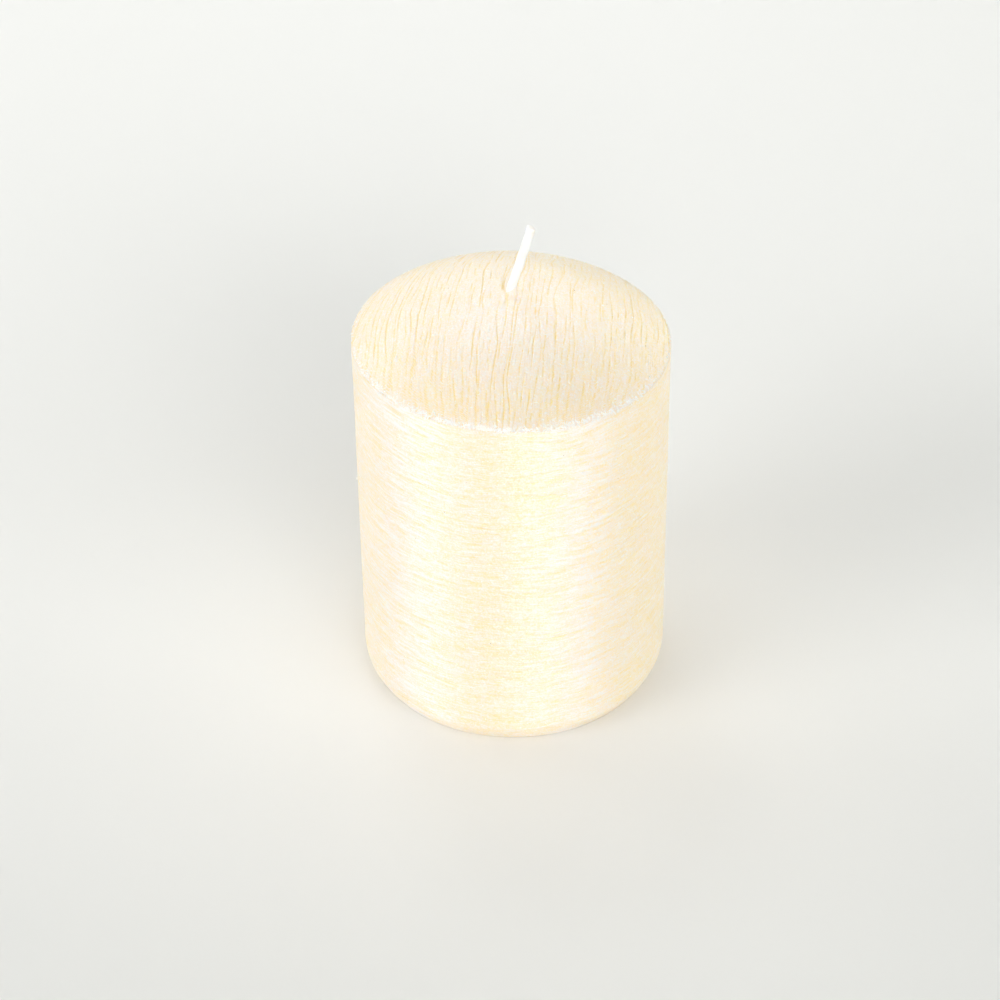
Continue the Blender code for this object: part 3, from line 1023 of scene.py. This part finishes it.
def pearl_flake():
    """Pearl flakes: most are white, some amber."""
    material, tree = node_material("pearl_flake")
    hue = attribute(tree, "hue")
    place = object_place(tree)
    grain = noise_node(tree, place, 6000.0, 1.0)
    shade = weighted_sum(tree, hue, (grain, 0.05))
    amber_tones = ((0.0, (1.0, 0.74, 0.36)), (0.2, (1.0, 0.9, 0.74)))
    white_tones = ((0.8, (1.0, 0.99, 0.95)), (1.0, (1.0, 1.0, 1.0)))
    colour = colour_ramp(tree, shade, amber_tones + white_tones)
    rough = weighted_sum(tree, 0.4, (grain, 0.05))
    return shaded(material, Base_Color=colour, Roughness=rough, IOR=1.6, Specular_IOR_Level=1.0)


def plain_wax(name, colour, cloud_size, grain_size, subsurface=0.3):
    """Plain candle wax: cloudy, faintly mottled and finely pitted. The two sizes are in mm."""
    material, tree = node_material(name)
    place = object_place(tree)
    cloud = noise_node(tree, place, 1 / (cloud_size * MM), 4.0)
    grains = voronoi_node(tree, place, 1 / (grain_size * MM), "Distance")
    fine = noise_node(tree, place, 1 / (0.25 * MM), 2.0)
    deeper = tuple(c * k for c, k in zip(colour, (0.99, 0.95, 0.88)))
    paler = tuple(min(1.0, c * 1.05) for c in colour)
    shade = weighted_sum(tree, 0.5, (cloud, 0.3), (fine, 0.1), (grains, -0.15))
    height = weighted_sum(tree, 0.0, (grains, 0.6), (fine, 0.4))
    return shaded(
        material, Base_Color=colour_ramp(tree, shade, ((0.0, deeper), (0.5, colour), (1.0, paler))),
        Roughness=weighted_sum(tree, 0.5, (grains, 0.1), (fine, 0.05)), Normal=bump_node(tree, height, 0.06),
        Subsurface_Weight=subsurface, Subsurface_Radius=(1.0, 0.7, 0.4), Subsurface_Scale=0.002,
    )


def cotton():
    """Bleached cotton yarn: fibres that run along the twist."""
    material, tree = node_material("wick_cotton")
    grain = attribute(tree, "grain", "Vector")
    fibres = noise_node(tree, grain, 3.0, 3.0)
    stops = ((0.0, (0.78, 0.74, 0.66)), (1.0, (0.95, 0.93, 0.88)))
    colour = colour_ramp(tree, ramp(tree, fibres, -1, 1), stops)
    return shaded(
        material, Base_Color=colour, Roughness=weighted_sum(tree, 0.85, (fibres, 0.08)),
        Normal=bump_node(tree, fibres, 0.03), Sheen_Weight=0.3,
    )


def dust():
    """Grey-brown dust."""
    material, tree = node_material("dust")
    place = object_place(tree)
    patch = noise_node(tree, place, 300.0, 1.0)
    colour = colour_ramp(tree, ramp(tree, patch, -1, 1), ((0.0, (0.42, 0.2, 0.12)), (1.0, (0.3, 0.26, 0.25))))
    return shaded(material, Base_Color=colour, Roughness=weighted_sum(tree, 0.8, (patch, 0.1)))


def tinplate():
    """Tinned steel: crystal spangle, fine rolling marks and dull patches."""
    material, tree = node_material("sustainer_tinplate")
    place = object_place(tree)
    spangle = voronoi_node(tree, place, 700.0, "Color")
    crystal = red_part(tree, spangle)
    stretched = add_node(tree, "Mapping", Vector=place, Scale=(400.0, 9000.0, 400.0)).outputs[0]
    rolling = noise_node(tree, stretched, 1.0, 2.0)
    dull = noise_node(tree, place, 350.0, 4.0)
    shade = weighted_sum(tree, 0.5, (crystal, 0.3), (dull, 0.25))
    colour = colour_ramp(tree, shade, ((0.0, (0.55, 0.54, 0.52)), (1.0, (0.84, 0.84, 0.83))))
    normal = jittered_normal(tree, bump_node(tree, rolling, 0.01), spangle, 0.05)
    return shaded(
        material, Base_Color=colour, Metallic=1.0, Normal=normal,
        Roughness=weighted_sum(tree, 0.28, (dull, 0.1), (rolling, 0.06)),
    )


# ------ camera, light and floor


def make_camera():
    data = bpy.data.cameras.new("camera")
    data.sensor_width = SENSOR
    data.lens = LENS
    data.clip_start = 0.01
    camera = new_object("camera", data)
    camera.location = CAMERA_PLACE
    turn = Matrix.Rotation(radians(CAMERA_TURN), 4, "Z")
    pitch = Matrix.Rotation(radians(90 - CAMERA_DOWN), 4, "X")
    roll = Matrix.Rotation(radians(CAMERA_ROLL), 4, "Z")
    camera.rotation_euler = (turn @ pitch @ roll).to_euler()
    bpy.context.scene.camera = camera


def make_stage():
    """A pale sweep: a flat floor that curves up far away on every side."""
    steps = 96
    profile = [(0.25, 0.0), (1.0, 0.0), (2.0, 0.0)]
    curve = np.radians([10, 20, 30, 45, 60, 75, 90])
    profile += [(2.0 + 1.2 * sin(a), 1.2 - 1.2 * cos(a)) for a in curve]
    rings = turned_grid(profile, steps)
    points = np.concatenate([[[0.0, 0.0, 0.0]], rings.reshape(-1, 3)])
    index = 1 + np.arange(len(profile) * steps).reshape(len(profile), steps)
    quads = [ring_quads(index[i + 1], index[i]) for i in range(len(profile) - 1)]
    floor = mesh_object("floor", points, quads, [ring_fan(index[0], 0)[:, [2, 0, 1]]])
    floor.data.materials.append(white_sweep())


def white_sweep():
    """White card, with painted shade: a little darker towards the front and the right."""
    material, tree = node_material("white_sweep")
    place = object_place(tree)
    cloud = noise_node(tree, place, 3.0, 2.0)
    axes = add_node(tree, "SeparateXYZ", Vector=place).outputs
    # Painted shade: the card is paler towards the back and darker towards the right.
    painted_light_to_back = ramp(tree, axes["Y"], -0.2, -0.06)
    painted_shade_to_right = ramp(tree, axes["X"], 0.05, 0.3)
    tone = weighted_sum(tree, painted_light_to_back, (cloud, 0.1), (painted_shade_to_right, -0.7))
    colour = mix_colour(tree, tone, (0.755, 0.765, 0.735), (0.825, 0.83, 0.805))
    return shaded(material, Base_Color=colour, Roughness=0.7, Specular_IOR_Level=0.2)


def light_direction(azimuth, elevation):
    """A unit vector from angles in degrees."""
    a, e = radians(azimuth), radians(elevation)
    return Vector((sin(a) * cos(e), -cos(a) * cos(e), sin(e)))


def make_light():
    """A dark room with soft round lights all round it, and a lamp on the floor behind the candle."""
    world = bpy.data.worlds.new("studio")
    bpy.context.scene.world = world
    world.use_nodes = True
    tree = world.node_tree
    background = tree.nodes["Background"]
    direction = add_node(tree, "TexCoord").outputs["Generated"]
    strength = 0.0
    edge, core = cos(radians(SOFT_LIGHT_EDGE)), cos(radians(SOFT_LIGHT_CORE))
    for azimuth, elevation, power in SOFT_LIGHTS:
        centre = tuple(light_direction(azimuth, elevation))
        near = add_node(tree, "VectorMath", {"operation": "DOT_PRODUCT"}, i0=direction, i1=centre)
        patch = add_node(
            tree, "MapRange", {"interpolation_type": "SMOOTHSTEP"}, Value=near.outputs["Value"],
            From_Min=edge, From_Max=core,
        )
        strength = weighted_sum(tree, strength, (patch.outputs["Result"], power))
    set_input(tree, background.inputs["Strength"], strength)
    background.inputs["Color"].default_value = (1.0, 1.0, 1.0, 1.0)
    lamp = bpy.data.lights.new("background_lamp", "SPOT")
    lamp.energy = BACKGROUND_POWER
    lamp.shadow_soft_size = 0.3
    lamp.spot_size = 1.4
    lamp.spot_blend = 1.0
    lamp_object = new_object("background_lamp", lamp)
    lamp_object.location = BACKGROUND_LAMP
    aim = lamp_object.location - Vector(BACKGROUND_AIM)
    lamp_object.rotation_euler = aim.to_track_quat("Z", "Y").to_euler()
    bpy.context.scene.view_settings.view_transform = "Standard"
    bpy.context.scene.view_settings.look = "None"


# ------ assembly


def assemble(piece, material, slot, *nodes):
    """Gives a piece its material, lets it ride on the candle's one body, and hides the CAD parts that it
    stands for.
    """
    piece.data.materials.append(material)
    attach(piece, "root")
    if nodes:
        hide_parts(*nodes)


make_camera()
make_light()
make_stage()

flake = pearl_flake()
ivory = plain_wax("ivory_wax", (0.94, 0.80, 0.55), 9.0, 1.2)
pressed = plain_wax("core_wax", (0.93, 0.90, 0.82), 6.0, 0.8)
wick_wax = plain_wax("wick_wax", (0.97, 0.96, 0.92), 4.0, 0.6)
assemble(make_dome(), pearl_wax("pearl_wax_dome", 0.5), "pearl_wax", "pearl_finish_coat")
assemble(make_side(), pearl_wax("pearl_wax_side", 1.1), "pearl_wax", "pearl_finish_coat")
assemble(dome_flakes(), flake, "pearl_wax")
assemble(side_flakes(), flake, "pearl_wax")
crumb_wax = plain_wax("crumb_wax", (1.0, 0.985, 0.94), 2.0, 0.3, subsurface=0.0)
for crumbs in (rim_crumbs(), dome_crumbs(), side_crumbs()):
    assemble(crumbs, crumb_wax, "pearl_wax")
assemble(dust_specks(), dust(), "pearl_wax")
assemble(make_ivory_coat(), ivory, "ivory_wax", "ivory_dip_coat")
assemble(make_core(), pressed, "core_wax", "wax_core")
assemble(make_sustainer(), tinplate(), "sustainer_tinplate", "wick_sustainer")
assemble(make_wick_skin(), wick_wax, "wick_wax", "wick_wax_coat")
cotton_yarn = cotton()
for number in (1, 2, 3):
    assemble(make_strand(number), cotton_yarn, "wick_cotton", f"wick_strand_{number}")
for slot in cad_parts["wick_bore_fill"].material_slots:
    slot.material = pressed
